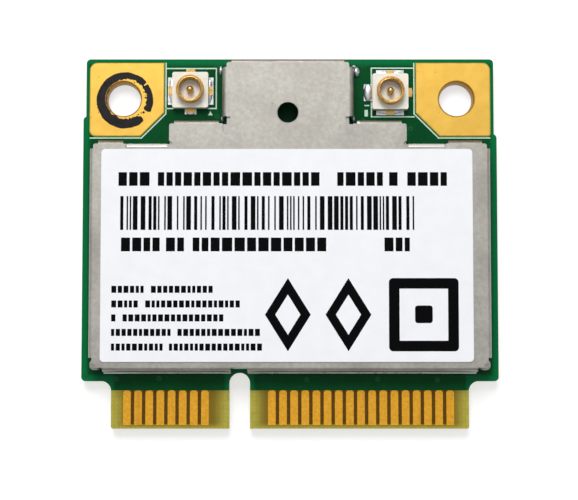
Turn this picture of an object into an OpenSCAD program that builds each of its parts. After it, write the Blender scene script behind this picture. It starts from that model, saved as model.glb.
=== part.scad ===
// Half-length plug-in radio card for small computers.
// The card lies flat with its component side up. The origin is on the underside, in the middle of
// the outline. +X runs along the width, +Y points to the two mounting holes, +Z is up.

/* [Board] */
// Width of the board across the two mounting holes
board_w = 30; // [29.5:0.1:32]
// Length of the board from the contact edge to the far edge
board_l = 26.8; // [26:0.1:30]
// Thickness over the copper on both faces
board_t = 1; // [0.8:0.05:1.2]
// How much narrower each side is beside the mounting holes
waist = 0.2; // [0:0.05:0.3]
// Length of the narrower stretch on the left side, from the far edge
waist_left_l = 4.5; // [4:0.1:6]
// Length of the narrower stretch on the right side, from the far edge
waist_right_l = 5.8; // [4:0.1:6]
// Radius of the outer corners
corner_r = 0.3; // [0.1:0.05:0.6]
// Thickness of the gold-plated copper on each face
copper_t = 0.04; // [0.02:0.01:0.05]
// Thickness of the green solder mask on each face
mask_t = 0.03; // [0.01:0.01:0.04]

/* [Contact edge] */
// Width of the shoulder on each side of the tongue
shoulder_w = 2.15; // [2:0.05:2.25]
// Length of the tongue
tongue_l = 3.4; // [3.2:0.1:3.8]
// Radius where the tongue meets the shoulders
shoulder_r = 0.7; // [0.3:0.1:1]
// Width of the key notch
key_w = 1.5; // [1.4:0.05:1.6]
// Depth of the key notch
key_l = 4; // [3.6:0.1:4]
// Distance from the tongue's left side to the middle of the key notch
key_side = 9.23; // [9.1:0.01:9.3]
// Distance from one contact to the next
pitch = 0.8; // [0.78:0.01:0.81]
// Width of one contact
finger_w = 0.55; // [0.4:0.05:0.6]
// Length of one contact
finger_l = 2.5; // [2.2:0.1:2.6]
// Bare margin between the contacts and the board's edge
finger_margin = 0.24; // [0.1:0.02:0.4]
// Radius of a contact's inner corners
finger_r = 0.2; // [0.05:0.05:0.25]
// Distance from the key's middle to the nearest contact on its short side
short_gap = 2.48; // [2.4:0.02:2.6]
// Distance from the key's middle to the nearest contact position on its long side
long_gap = 1.52; // [1.4:0.02:1.6]
// Least distance from a contact's middle to the tongue's side
end_gap = 1; // [0.8:0.05:1.1]

/* [Mounting holes] */
// Distance from the hole centres to the board's sides
hole_side = 2.9; // [2.8:0.05:3]
// Distance from the hole centres to the far edge
hole_inset = 2.9; // [2.8:0.05:3]
// Clear radius of each plated hole
hole_r = 1.3; // [1.2:0.05:1.4]
// Side of the square gold land around each hole
land_s = 5.3; // [5:0.05:5.4]
// Distance from each land to the board's edges
land_edge = 0.3; // [0.25:0.05:0.4]
// Size of the chamfer on each land's inner corner
land_chamfer = 1.7; // [1.2:0.1:1.9]
// Radius of the land's corner at the board's corner
land_r = 0.5; // [0.2:0.05:0.6]
// Radius of the left land's lower outer corner
land_low_left_r = 0.4; // [0.1:0.05:0.6]
// Radius of the right land's lower outer corner
land_low_right_r = 0.15; // [0.1:0.05:0.6]
// Gap between each land and the solder mask
mask_gap = 0.07; // [0.02:0.01:0.1]

/* [Shield] */
// Thickness of the lid's sheet
lid_t = 0.15; // [0.1:0.01:0.2]
// Inner radius of the lid's bends
lid_bend = 0.1; // [0.05:0.01:0.2]
// How far the lid's flaps lean out, in degrees
flap_lean = 7; // [0:1:10]
// Length of a flap below its bend
flap_l = 0.95; // [0.6:0.05:1]
// Width of the cut between two flaps at a corner
relief = 0.35; // [0.2:0.05:0.5]
// Length of the flap beside the lid's upper left corner
corner_flap_left = 1.8; // [1.5:0.05:2.6]
// Length of the flap beside the lid's upper right corner
corner_flap_right = 2.4; // [1.5:0.05:2.6]
// How far the lid's edge sits back between those flaps and the step, so that the fence shows
setback = 0.35; // [0.1:0.05:0.4]
// Distance from the lid's lower corners to the lower flaps
low_end = 0.75; // [0.5:0.05:1]
// Gap between the two lower flaps, over the key notch
key_gap = 1.2; // [1:0.1:1.5]
// Distance from the lid's side bends to the board's sides
lid_side = 0.925; // [0.85:0.025:1.2]
// Distance from the lid's shoulder step to the land, across the card
step_gap = 0.7; // [0.6:0.05:1.5]
// Width of the lane between the land and the lid's neck, where an antenna socket stands
lane_w = 4.8; // [4.5:0.05:5]
// How far the neck sits left of the middle
neck_shift = 0.15; // [0:0.05:0.2]
// Distance from the neck's end to the board's far edge
neck_y = 0.55; // [0.5:0.05:1]
// Distance from the shoulder step to the board's far edge
step_y = 5; // [4.8:0.1:5.2]
// Distance from the wide part to the board's far edge
main_y = 6.45; // [6.3:0.05:6.8]
// Distance from the wide part's lower bend to the contact edge
main_low = 4.35; // [4.3:0.05:4.6]
// Radius of the round hole in the neck
peep_r = 0.75; // [0.5:0.05:0.9]
// Distance from that hole to the board's far edge
peep_y = 4.2; // [3.5:0.1:4.6]
// Thickness of the fence's sheet
fence_t = 0.2; // [0.15:0.01:0.25]
// Height of the fence that carries the lid
fence_h = 1.5; // [1.4:0.05:1.8]
// Clearance between the fence's outer face and the line where the lid starts to bend
fence_fit = 0.03; // [0.02:0.01:0.06]
// Width of the rim bent inward at the top of the fence
rim_w = 0.7; // [0.5:0.05:0.9]
// Outer radius of the fence's corners
fence_r = 0.5; // [0.3:0.05:0.6]
// Width of each drain window at the fence's foot
drain_w = 1.2; // [0.8:0.1:1.6]
// Height of each drain window
drain_h = 0.35; // [0.2:0.05:0.5]
// Distance from the fence's ends to the middle of the nearest drain window
drain_end = 2; // [1.5:0.1:3]
// Number of drain windows on each side
drain_count = 4; // [2:1:5]
// Width of the bridge across the fence
bridge_w = 1.6; // [1:0.1:2]
// Radius of the pick-up pad in the middle of the bridge
bridge_r = 2.2; // [1.5:0.1:2.6]
// Thickness of the solder under parts
solder_t = 0.04; // [0.02:0.01:0.06]
// How far solder shows around a part's foot
solder_toe = 0.1; // [0.05:0.01:0.15]

/* [Label] */
// Distance from the label to the lid's left bend
label_left = 0.6; // [0.3:0.05:2]
// Distance from the label to the lid's right bend
label_right = 1.05; // [0.3:0.05:2]
// Distance from the label to the lid's upper and lower bends
label_end = 0.4; // [0.35:0.05:1.5]
// Thickness of the label
label_t = 0.08; // [0.05:0.01:0.1]
// Radius of the label's corners
label_r = 0.28; // [0.1:0.02:0.5]

/* [Antenna sockets] */
// Side of the socket's square base
socket_s = 2.6; // [2.4:0.05:2.7]
// Height of that base
socket_h = 0.6; // [0.4:0.05:0.7]
// Height of the socket's ring above its seat
ring_h = 1.2; // [1.1:0.05:1.3]
// Outer radius of the ring
ring_r = 1; // [0.95:0.01:1.02]
// Wall of the ring
ring_t = 0.13; // [0.1:0.01:0.16]
// Depth of the groove where a plug snaps in
groove = 0.05; // [0.02:0.01:0.07]
// Radius of the centre pin
pin_r = 0.25; // [0.2:0.01:0.3]
// Height of the pin's tip above its seat
pin_h = 1.05; // [0.9:0.05:1.15]
// Width of the metal tails
tail_w = 0.64; // [0.5:0.02:0.7]
// Length of each tail beyond the base
tail_l = 0.3; // [0.2:0.02:0.4]
// Thickness of the tails
tail_t = 0.12; // [0.08:0.01:0.15]
// Distance from the left land to the middle of its socket
socket_left_gap = 1.98; // [1.9:0.02:2.1]
// Distance from the right land to the middle of its socket
socket_right_gap = 1.93; // [1.9:0.02:2.1]
// Centre of the left socket, from the far edge
socket_left_y = 2.35; // [2.2:0.05:2.6]
// Centre of the right socket, from the far edge
socket_right_y = 2.46; // [2.3:0.05:2.6]

/* [Parts under the shield] */
// Lane kept free between the parts and the fence
part_lane = 0.8; // [0.6:0.1:1]
// Distance between neighbouring parts
part_gap = 0.7; // [0.5:0.1:0.8]
// Distance between the middles of small parts in a row
small_pitch = 1.4; // [1.3:0.1:1.8]
// Side of the radio chip
chip_s = 9; // [7:0.5:9.5]
// Height of the radio chip
chip_h = 0.85; // [0.7:0.05:1]
// Number of terminals on each side of the radio chip
chip_pins = 16; // [10:1:18]
// Width of one terminal
terminal_w = 0.25; // [0.15:0.05:0.3]
// Length of one terminal
terminal_l = 0.4; // [0.3:0.05:0.6]
// Height of one terminal
terminal_h = 0.2; // [0.1:0.05:0.25]
// Distance from the chip's corner to its first terminal
terminal_end = 0.7; // [0.6:0.05:0.9]
// Side of each power amplifier
amp_s = 3; // [2.5:0.1:3.1]
// Height of each power amplifier
amp_h = 0.8; // [0.6:0.05:0.9]
// Side of the antenna switch
switch_s = 1.6; // [1.4:0.1:2]
// Height of the antenna switch
switch_h = 0.55; // [0.4:0.05:0.8]
// Length of the crystal can
crystal_l = 3.2; // [2.5:0.1:3.4]
// Width of the crystal can
crystal_w = 2.5; // [2:0.1:2.6]
// Height of the crystal's ceramic base, and of its metal cap
crystal_h = 0.35; // [0.25:0.05:0.5]
// Step between the crystal's base and its cap
crystal_step = 0.2; // [0.1:0.05:0.3]
// Length of the memory chip's body
memory_l = 4.4; // [4:0.1:4.6]
// Width of the memory chip's body
memory_w = 3; // [2.8:0.1:3.2]
// Height of the memory chip's body
memory_h = 1; // [0.8:0.05:1.1]
// Gap between the memory chip's body and its seat
memory_lift = 0.1; // [0.05:0.05:0.15]
// Reach of the memory chip's leads
lead_reach = 1; // [0.8:0.05:1.2]
// Width of one lead
lead_w = 0.25; // [0.15:0.05:0.3]
// Thickness of one lead
lead_t = 0.12; // [0.1:0.01:0.15]
// Distance from one lead to the next
lead_pitch = 0.65; // [0.5:0.05:0.8]
// Side of each power inductor
coil_s = 2.4; // [2:0.1:2.6]
// Height of each power inductor
coil_h = 1.1; // [0.9:0.05:1.3]
// Thickness of an inductor's flanges
flange_t = 0.25; // [0.2:0.05:0.35]
// Length of a small part
small_l = 1; // [0.8:0.05:1.1]
// Width and height of a small part
small_w = 0.5; // [0.4:0.05:0.6]
// Length of a small part's metal end
small_end = 0.22; // [0.15:0.01:0.3]
// Height of a resistor
resistor_h = 0.35; // [0.25:0.05:0.45]

/* [Hidden] */
$fn = 64;

eps = 0.01;
small_r = 0.15;
fence_in_r = 0.2;
far_y = board_l / 2;
edge_y = -board_l / 2;
core_low = copper_t;
core_top = board_t - copper_t;
mask_top_z = core_top + mask_t;
mask_edge_y = edge_y + finger_margin + finger_l + eps;
hole_x = board_w / 2 - hole_side;
hole_y = far_y - hole_inset;
land_out_x = board_w / 2 - waist - land_edge;
land_out_y = far_y - land_edge;
land_in_x = land_out_x - land_s;

tongue_w = board_w - 2 * shoulder_w;
key_x = -tongue_w / 2 + key_side;
short_x = key_x - short_gap;
long_x = key_x + long_gap;
short_count = floor((tongue_w / 2 + short_x - end_gap) / pitch) + 1;
long_count = floor((tongue_w / 2 - long_x - end_gap) / pitch) + 1;

foot_z = mask_top_z + solder_t;
fence_top = foot_z + fence_h;
lid_top = fence_top + lid_t;
fence_grow = -fence_fit;

main_w = board_w - 2 * lid_side;
step_w = 2 * (land_in_x - step_gap);
neck_w = 2 * (land_in_x - lane_w);
neck_top_y = far_y - neck_y;
step_top_y = far_y - step_y;
main_top_y = far_y - main_y;
main_low_y = edge_y + main_low;
socket_left_x = -land_in_x + socket_left_gap;
socket_right_x = land_in_x - socket_right_gap;

// A rectangle from its corners, with round corners of radius r.
module round_rect(x0, y0, x1, y1, r) {
    translate([x0 + r, y0]) square([x1 - x0 - 2 * r, y1 - y0]);
    translate([x0, y0 + r]) square([x1 - x0, y1 - y0 - 2 * r]);
    for (x = [x0 + r, x1 - r], y = [y0 + r, y1 - r]) translate([x, y]) circle(r);
}

// The board seen from above: main field, tongue with round shoulders, key notch.
module board_outline() {
    half = board_w / 2;
    half_tongue = tongue_w / 2;
    shoulder_y = edge_y + tongue_l;
    difference() {
        union() {
            round_rect(-half, shoulder_y, shoulder_w, far_y - waist_left_l + corner_r, corner_r);
            round_rect(-shoulder_w, shoulder_y, half, far_y - waist_right_l + corner_r, corner_r);
            round_rect(-half + waist, shoulder_y, half - waist, far_y, corner_r);
            round_rect(-half_tongue, edge_y, half_tongue, shoulder_y + corner_r + eps, small_r);
            for (side = [-1, 1]) difference() {
                translate([side * (half_tongue + shoulder_r / 2), shoulder_y - shoulder_r / 2])
                    square([shoulder_r, shoulder_r], center = true);
                translate([side * (half_tongue + shoulder_r), shoulder_y - shoulder_r])
                    circle(shoulder_r);
            }
        }
        key_notch();
    }
}

module key_notch() {
    translate([key_x - key_w / 2, edge_y - 1]) square([key_w, key_l - key_w / 2 + 1]);
    translate([key_x, edge_y + key_l - key_w / 2]) circle(key_w / 2);
}

// One gold land seen from above. side is -1 at the left hole and 1 at the right hole.
// grow makes it larger all round, for the opening in the mask.
module land_outline(side, grow) {
    out_x = land_out_x + grow;
    in_x = land_in_x - grow;
    top_y = land_out_y + grow;
    low_y = land_out_y - land_s - grow;
    r = land_r + grow;
    low_r = (side < 0 ? land_low_left_r : land_low_right_r) + grow;
    cut = land_chamfer + grow * (2 - sqrt(2));
    scale([side, 1]) {
        polygon([
            [in_x, top_y], [out_x - r, top_y], [out_x, top_y - r], [out_x, low_y + low_r],
            [out_x - low_r, low_y], [in_x + cut, low_y], [in_x, low_y + cut]]);
        translate([out_x - r, top_y - r]) circle(r);
        translate([out_x - low_r, low_y + low_r]) circle(low_r);
    }
}

module laminate() {
    color("olive") translate([0, 0, core_low]) linear_extrude(core_top - core_low) difference() {
        board_outline();
        for (side = [-1, 1]) translate([side * hole_x, hole_y]) circle(hole_r);
    }
}

module mask_outline() {
    difference() {
        board_outline();
        for (side = [-1, 1]) land_outline(side, mask_gap);
        translate([-board_w, edge_y - 1]) square([2 * board_w, mask_edge_y - edge_y + 1]);
    }
}

module mask_top() {
    color("darkgreen") translate([0, 0, core_top]) linear_extrude(mask_t) mask_outline();
}

module mask_bottom() {
    color("darkgreen") translate([0, 0, core_low - mask_t]) linear_extrude(mask_t) mask_outline();
}

// A gold land on each face, round the same hole.
module land(side) {
    for (z = [0, core_top]) translate([0, 0, z]) linear_extrude(copper_t) difference() {
        land_outline(side, 0);
        translate([side * hole_x, hole_y]) circle(hole_r);
    }
}

module land_left() {
    color("gold") land(-1);
}

module land_right() {
    color("gold") land(1);
}

// One contact seen from above, centred on x = 0, with two round inner corners.
module finger() {
    low = edge_y + finger_margin;
    top = low + finger_l;
    translate([-finger_w / 2, low]) square([finger_w, finger_l - finger_r]);
    translate([-finger_w / 2 + finger_r, low]) square([finger_w - 2 * finger_r, finger_l]);
    for (x = [-1, 1]) translate([x * (finger_w / 2 - finger_r), top - finger_r]) circle(finger_r, $fn = 24);
}

// A row of contacts on one face. Positions count away from the key.
module contact_row(first_x, direction, positions, z) {
    color("goldenrod") translate([0, 0, z]) linear_extrude(copper_t)
        for (i = positions) translate([first_x + direction * i * pitch, 0]) finger();
}

module contacts_top_short() {
    contact_row(short_x, -1, [0 : short_count - 1], core_top);
}

// The position next to the key has no contact on this face.
module contacts_top_long() {
    contact_row(long_x, 1, [1 : long_count - 1], core_top);
}

module contacts_bottom_short() {
    contact_row(short_x, -1, [0 : short_count - 1], 0);
}

module contacts_bottom_long() {
    contact_row(long_x, 1, [0 : long_count - 1], 0);
}

// The shield's stepped T seen from above, larger all round by grow.
module tee(grow, r) {
    for (part = [[neck_w, neck_top_y, neck_shift], [step_w, step_top_y, neck_shift], [main_w, main_top_y, 0]])
        round_rect(-part[0] / 2 - part[2] - grow, main_low_y - grow,
            part[0] / 2 - part[2] + grow, part[1] + grow, r);
}

// Soldered fence: upright wall, rim bent inward, bridge with a pick-up pad, drain slots at the foot.
module shield_fence() {
    bridge_y = (main_low_y + main_top_y) / 2;
    drain_step = (main_top_y - main_low_y - 2 * drain_end) / (drain_count - 1);
    color("gainsboro") difference() {
        union() {
            translate([0, 0, foot_z]) linear_extrude(fence_h) difference() {
                tee(fence_grow, fence_r);
                tee(fence_grow - fence_t, fence_r - fence_t);
            }
            translate([0, 0, fence_top - fence_t]) linear_extrude(fence_t) {
                difference() {
                    tee(fence_grow, fence_r);
                    tee(fence_grow - rim_w, fence_in_r);
                }
                translate([-bridge_w / 2, main_low_y]) square([bridge_w, main_top_y - main_low_y]);
                translate([0, bridge_y]) circle(bridge_r);
            }
        }
        for (i = [0 : drain_count - 1])
            translate([0, main_low_y + drain_end + i * drain_step, foot_z + drain_h / 2 - eps])
                cube([board_w, drain_w, drain_h], center = true);
    }
}

// Solder track under the fence, with a thin toe on each side.
module fence_solder() {
    color("silver") translate([0, 0, mask_top_z]) linear_extrude(solder_t) difference() {
        tee(fence_grow + solder_toe, fence_r);
        tee(fence_grow - fence_t - solder_toe, fence_in_r);
    }
}

// Section through a flap: a quarter bend and a straight leg that leans out. The bend starts at
// the flat sheet's edge, x = 0, and the sheet's top is y = 0.
module flap_section() {
    outer = lid_bend + lid_t;
    turn = 90 - flap_lean;
    translate([0, -outer]) {
        intersection() {
            difference() {
                circle(outer);
                circle(lid_bend);
            }
            polygon([[0, 0], [0, 2 * outer], [2 * outer, 2 * outer],
                [2 * outer * sin(turn), 2 * outer * cos(turn)]]);
        }
        rotate(90 - turn) translate([lid_bend, -flap_l]) square([lid_t, flap_l]);
    }
}

// A flap of the given length. Its flat edge starts at p and runs along the heading in degrees,
// with the flap hanging on the left-hand side.
module flap(p, heading, length) {
    translate([p[0], p[1], lid_top]) rotate(heading) rotate([90, 0, 90])
        linear_extrude(length) flap_section();
}

// Folded lid: a stepped T of sheet with flaps on every straight side and reliefs at the corners.
module shield_lid() {
    half_main = main_w / 2;
    neck_left = -neck_w / 2 - neck_shift;
    neck_right = neck_w / 2 - neck_shift;
    step_left = -step_w / 2 - neck_shift;
    step_right = step_w / 2 - neck_shift;
    slot_w = 0.55;
    slot_l = 0.5;
    step_slot_r = 0.2;
    corner_cut_r = 0.3;
    left_in = 1.5 * relief + corner_flap_left;
    right_in = 1.5 * relief + corner_flap_right;
    left_low_l = half_main + key_x - key_gap / 2 - low_end;
    right_low_l = half_main - key_x - key_gap / 2 - low_end;
    color("silver") {
        translate([0, 0, fence_top]) linear_extrude(lid_t) difference() {
            tee(0, small_r);
            translate([-neck_shift, far_y - peep_y]) circle(peep_r);
            for (x = [neck_left, neck_right]) translate([x, step_top_y]) {
                square([slot_w, 2 * slot_l], center = true);
                translate([0, -slot_l]) circle(slot_w / 2);
            }
            for (x = [step_left, step_right]) translate([x, main_top_y]) circle(step_slot_r);
            translate([step_right, main_top_y - setback])
                square([half_main - right_in - step_right, 2 * setback]);
            translate([-half_main + left_in, main_top_y - setback])
                square([half_main - left_in + step_left, 2 * setback]);
            for (side = [-1, 1]) translate([side * half_main, main_low_y]) circle(corner_cut_r);
        }
        flap([neck_left + relief, neck_top_y], 0, neck_w - 2 * relief);
        flap([neck_right, neck_top_y - relief], -90, neck_top_y - step_top_y - relief - slot_w);
        flap([neck_left, step_top_y + slot_w], 90, neck_top_y - step_top_y - relief - slot_w);
        flap([neck_right + slot_w, step_top_y], 0, step_right - neck_right - slot_w - relief);
        flap([step_left + relief, step_top_y], 0, neck_left - step_left - slot_w - relief);
        flap([half_main, main_top_y - relief], -90, main_top_y - main_low_y - 3 * relief);
        flap([-half_main, main_low_y + 2 * relief], 90, main_top_y - main_low_y - 3 * relief);
        flap([-half_main + relief, main_top_y], 0, corner_flap_left);
        flap([half_main - relief - corner_flap_right, main_top_y], 0, corner_flap_right);
        flap([half_main - low_end, main_low_y], 180, right_low_l);
        flap([key_x - key_gap / 2, main_low_y], 180, left_low_l);
    }
}

module label() {
    color("white") translate([0, 0, lid_top]) linear_extrude(label_t)
        round_rect(-main_w / 2 + label_left, main_low_y + label_end,
            main_w / 2 - label_right, main_top_y - label_end, label_r);
}

// Antenna socket parts stand on z = 0 with the signal tail pointing to -Y.
module socket_base() {
    half = socket_s / 2;
    floor_t = 0.3;
    difference() {
        linear_extrude(socket_h) round_rect(-half, -half, half, half, small_r);
        translate([0, 0, tail_t]) cylinder(r = ring_r, h = socket_h);
        translate([0, 0, -eps]) cylinder(r = pin_r, h = socket_h);
        for (turn = [0, 90, 180, 270]) rotate(turn)
            translate([-tail_w / 2, -half - 1, -eps]) cube([tail_w, half + 1, tail_t + eps]);
    }
    difference() {
        translate([0, 0, tail_t]) cylinder(r = ring_r - ring_t, h = floor_t);
        translate([0, 0, -eps]) cylinder(r = pin_r, h = socket_h);
    }
}

// Outer contact: a turned-looking drawn ring with a snap groove and three tails.
module socket_ring() {
    groove_z = ring_h * 0.72;
    groove_h = 0.18;
    inner = ring_r - ring_t;
    lip = 0.05;
    translate([0, 0, tail_t]) rotate_extrude() polygon([
        [inner, 0], [ring_r, 0],
        [ring_r, groove_z - tail_t - groove_h], [ring_r - groove, groove_z - tail_t - groove_h / 2],
        [ring_r - groove, groove_z - tail_t + groove_h / 2 - 0.05], [ring_r, groove_z - tail_t + groove_h / 2],
        [ring_r, ring_h - tail_t - lip], [ring_r - lip, ring_h - tail_t],
        [inner + lip, ring_h - tail_t], [inner, ring_h - tail_t - lip * 1.5]]);
    for (turn = [90, 180, 270]) rotate(turn)
        translate([-tail_w / 2, -socket_s / 2 - tail_l, 0])
            cube([tail_w, socket_s / 2 + tail_l - inner, tail_t]);
}

// Centre contact: a round-nosed pin and its signal tail.
module socket_pin() {
    cylinder(r = pin_r, h = pin_h - pin_r);
    translate([0, 0, pin_h - pin_r]) sphere(pin_r);
    translate([-tail_w / 2, -socket_s / 2 - tail_l, 0]) cube([tail_w, socket_s / 2 + tail_l, tail_t]);
}

// Solder under the four tails, standing between the mask and the socket.
module socket_solder(signal_l) {
    side_l = 2;
    side_w = 0.42;
    reach = socket_s / 2 + tail_l;
    linear_extrude(solder_t) {
        for (side = [-1, 1]) translate([side * (reach - side_w / 2 + 0.05), 0])
            square([side_w, side_l], center = true);
        translate([0, reach - side_w / 2]) square([tail_w, side_w], center = true);
        translate([0, -reach + side_w / 2 - signal_l / 2])
            square([tail_w + 2 * signal_l, side_w + signal_l], center = true);
    }
}

module at_left_socket(z) {
    translate([socket_left_x, far_y - socket_left_y, z]) children();
}

module at_right_socket(z) {
    translate([socket_right_x, far_y - socket_right_y, z]) rotate(-90) children();
}

module socket_base_left() {
    color("ivory") at_left_socket(foot_z) socket_base();
}

module socket_ring_left() {
    color("gold") at_left_socket(foot_z) socket_ring();
}

module socket_pin_left() {
    color("gold") at_left_socket(foot_z) socket_pin();
}

module socket_solder_left() {
    color("silver") at_left_socket(mask_top_z) socket_solder(0.1);
}

module socket_base_right() {
    color("ivory") at_right_socket(foot_z) socket_base();
}

module socket_ring_right() {
    color("gold") at_right_socket(foot_z) socket_ring();
}

module socket_pin_right() {
    color("gold") at_right_socket(foot_z) socket_pin();
}

module socket_solder_right() {
    color("silver") at_right_socket(mask_top_z) socket_solder(0.3);
}

// The space inside the fence, less the free lane, and the places of the parts in it.
room_x = main_w / 2 + fence_grow - fence_t - part_lane;
room_low = main_low_y - fence_grow + fence_t + part_lane;
room_top = main_top_y + fence_grow - fence_t - part_lane;
crystal_at = [-room_x + crystal_w / 2, room_low + crystal_l / 2];
chip_at = [-room_x + crystal_w + 2 * part_gap + chip_s / 2, room_low + chip_s / 2];
memory_at = [room_x - lead_reach - memory_w / 2, room_low + memory_l / 2];
switch_at = [step_w / 2 - neck_shift - fence_t - part_lane - switch_s / 2,
    step_top_y - fence_t - part_gap - switch_s / 2];
coil_at = [for (i = [0, 1]) [room_x - coil_s / 2 - i * (coil_s + part_gap), room_top - coil_s / 2]];
chip_right = chip_at[0] + chip_s / 2;
chip_high = chip_at[1] + chip_s / 2;
amp_at = [for (i = [0, 1]) [chip_right + part_gap + amp_s / 2, room_low + amp_s / 2 + i * (amp_s + part_gap)]];
amp_high = amp_at[1][1] + amp_s / 2;
cap_at = concat(
    [for (x = [chip_at[0] - chip_s / 2 + small_w : small_pitch : chip_right])
        [x, chip_high + part_gap + small_l / 2, 90]],
    [for (y = [crystal_at[1] + crystal_l / 2 + part_gap + small_w : small_pitch : room_top])
        [-room_x + small_l / 2, y, 0]]);
resistor_at = concat(
    [for (y = [amp_high + part_gap : small_pitch : chip_high]) [chip_right + part_gap + small_l / 2, y, 0]],
    [for (y = [memory_at[1] + memory_l / 2 + part_gap : small_pitch : room_top - coil_s - part_gap])
        [room_x - small_l / 2, y, 0]]);

module at_each(places) {
    for (p = places) translate([p[0], p[1], foot_z]) rotate(p[2] == undef ? 0 : p[2]) children();
}

module square_package(side, height) {
    edge_r = 0.1;
    linear_extrude(height) round_rect(-side / 2, -side / 2, side / 2, side / 2, edge_r);
}

// Flat square package with a round mark in one corner and terminals let into its lower edge.
module radio_chip() {
    mark_r = 0.35;
    mark_in = 0.9;
    mark_deep = 0.05;
    color("dimgray") at_each([chip_at]) difference() {
        square_package(chip_s, chip_h);
        translate([mark_in - chip_s / 2, chip_s / 2 - mark_in, chip_h - mark_deep])
            cylinder(r = mark_r, h = chip_h);
        chip_terminals(eps);
    }
}

module chip_terminals(grow) {
    step = (chip_s - 2 * terminal_end) / (chip_pins - 1);
    for (turn = [0, 90, 180, 270], i = [0 : chip_pins - 1]) rotate(turn)
        translate([(i - (chip_pins - 1) / 2) * step - terminal_w / 2, -chip_s / 2 - grow, -grow])
            cube([terminal_w, terminal_l + grow, terminal_h + grow]);
}

module radio_chip_terminals() {
    color("silver") at_each([chip_at]) chip_terminals(0);
}

// Small outline package with four bent leads on each side.
module memory_chip() {
    color("dimgray") at_each([memory_at]) translate([0, 0, memory_lift])
        linear_extrude(memory_h) square([memory_w, memory_l], center = true);
}

module memory_chip_leads() {
    rise = memory_lift + memory_h / 2 - lead_t;
    knee = lead_reach * 0.45;
    section = [
        [0, rise], [0, rise + lead_t], [knee + lead_t, rise + lead_t], [knee + lead_t, lead_t],
        [lead_reach, lead_t], [lead_reach, 0], [knee, 0], [knee, rise]];
    color("silver") at_each([memory_at]) for (turn = [0, 180], i = [-1.5 : 1 : 1.5]) rotate(turn)
        translate([memory_w / 2, i * lead_pitch + lead_w / 2, 0]) rotate([90, 0, 0])
            linear_extrude(lead_w) polygon(section);
}

// Quartz crystal: a square-edged base and a drawn cap with round corners.
module crystal() {
    cap_r = 0.25;
    half_w = crystal_w / 2 - crystal_step;
    half_l = crystal_l / 2 - crystal_step;
    color("lightgray") at_each([crystal_at]) {
        linear_extrude(crystal_h) square([crystal_w, crystal_l], center = true);
        translate([0, 0, crystal_h]) linear_extrude(crystal_h)
            round_rect(-half_w, -half_l, half_w, half_l, cap_r);
    }
}

module amplifiers() {
    color("dimgray") at_each(amp_at) square_package(amp_s, amp_h);
}

module antenna_switch() {
    color("dimgray") at_each([switch_at]) square_package(switch_s, switch_h);
}

// Power inductors: a drum core between two square flanges.
module inductors() {
    flange_r = 0.3;
    drum_in = 0.25;
    color("darkslategray") at_each(coil_at) {
        for (z = [0, coil_h - flange_t]) translate([0, 0, z]) linear_extrude(flange_t)
            round_rect(-coil_s / 2, -coil_s / 2, coil_s / 2, coil_s / 2, flange_r);
        cylinder(r = coil_s / 2 - drum_in, h = coil_h);
    }
}

module capacitors() {
    color("tan") at_each(cap_at) translate([0, 0, small_w / 2])
        cube([small_l - 2 * small_end, small_w, small_w], center = true);
}

module capacitor_ends() {
    color("silver") at_each(cap_at) for (side = [-1, 1])
        translate([side * (small_l - small_end) / 2, 0, small_w / 2])
            cube([small_end, small_w, small_w], center = true);
}

module resistors() {
    color("black") at_each(resistor_at) translate([0, 0, resistor_h / 2])
        cube([small_l, small_w, resistor_h], center = true);
}

// Two solder pads seen from above, one at each end of a part of the given length.
module end_pads(length, pad_l, pad_w) {
    for (side = [-1, 1]) translate([side * (length - pad_l) / 2, 0]) square([pad_l, pad_w], center = true);
}

// Solder under everything that stands inside the shield.
module part_solder() {
    inset = 0.2;
    color("silver") translate([0, 0, mask_top_z]) linear_extrude(solder_t) {
        translate(chip_at) square(chip_s - 4 * terminal_l, center = true);
        translate(chip_at) difference() {
            square(chip_s + 2 * solder_toe, center = true);
            square(chip_s - 2 * terminal_l, center = true);
        }
        translate(memory_at) end_pads(memory_w + 2 * lead_reach, lead_reach / 2 + solder_toe,
            3 * lead_pitch + 2 * lead_w);
        translate(crystal_at) rotate(90) end_pads(crystal_l, crystal_l / 4, crystal_w);
        for (p = amp_at) translate(p) square(amp_s - 2 * inset, center = true);
        translate(switch_at) square(switch_s - 2 * inset, center = true);
        for (p = coil_at) translate(p) end_pads(coil_s, coil_s / 4, coil_s - 2 * inset);
        for (p = concat(cap_at, resistor_at)) translate([p[0], p[1]]) rotate(p[2])
            end_pads(small_l + solder_toe, small_end + solder_toe, small_w);
    }
}

laminate();
mask_top();
mask_bottom();
land_left();
land_right();
contacts_top_short();
contacts_top_long();
contacts_bottom_short();
contacts_bottom_long();
shield_fence();
fence_solder();
shield_lid();
label();
socket_base_left();
socket_ring_left();
socket_pin_left();
socket_solder_left();
socket_base_right();
socket_ring_right();
socket_pin_right();
socket_solder_right();
radio_chip();
radio_chip_terminals();
memory_chip();
memory_chip_leads();
crystal();
amplifiers();
antenna_switch();
inductors();
capacitors();
capacitor_ends();
resistors();
part_solder();
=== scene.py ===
# %% [markdown]
# # A half-length radio card
#
# The card is a small printed board with a tinned steel shield, a white paper label, two tiny antenna
# sockets and a gold contact edge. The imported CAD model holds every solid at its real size. This
# script gives each surface its finish and adds what is too thin for a solid: ink, solder, plating.

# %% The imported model
import bpy
import bmesh
import math
import random
from mathutils import Matrix, Vector, noise


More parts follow.
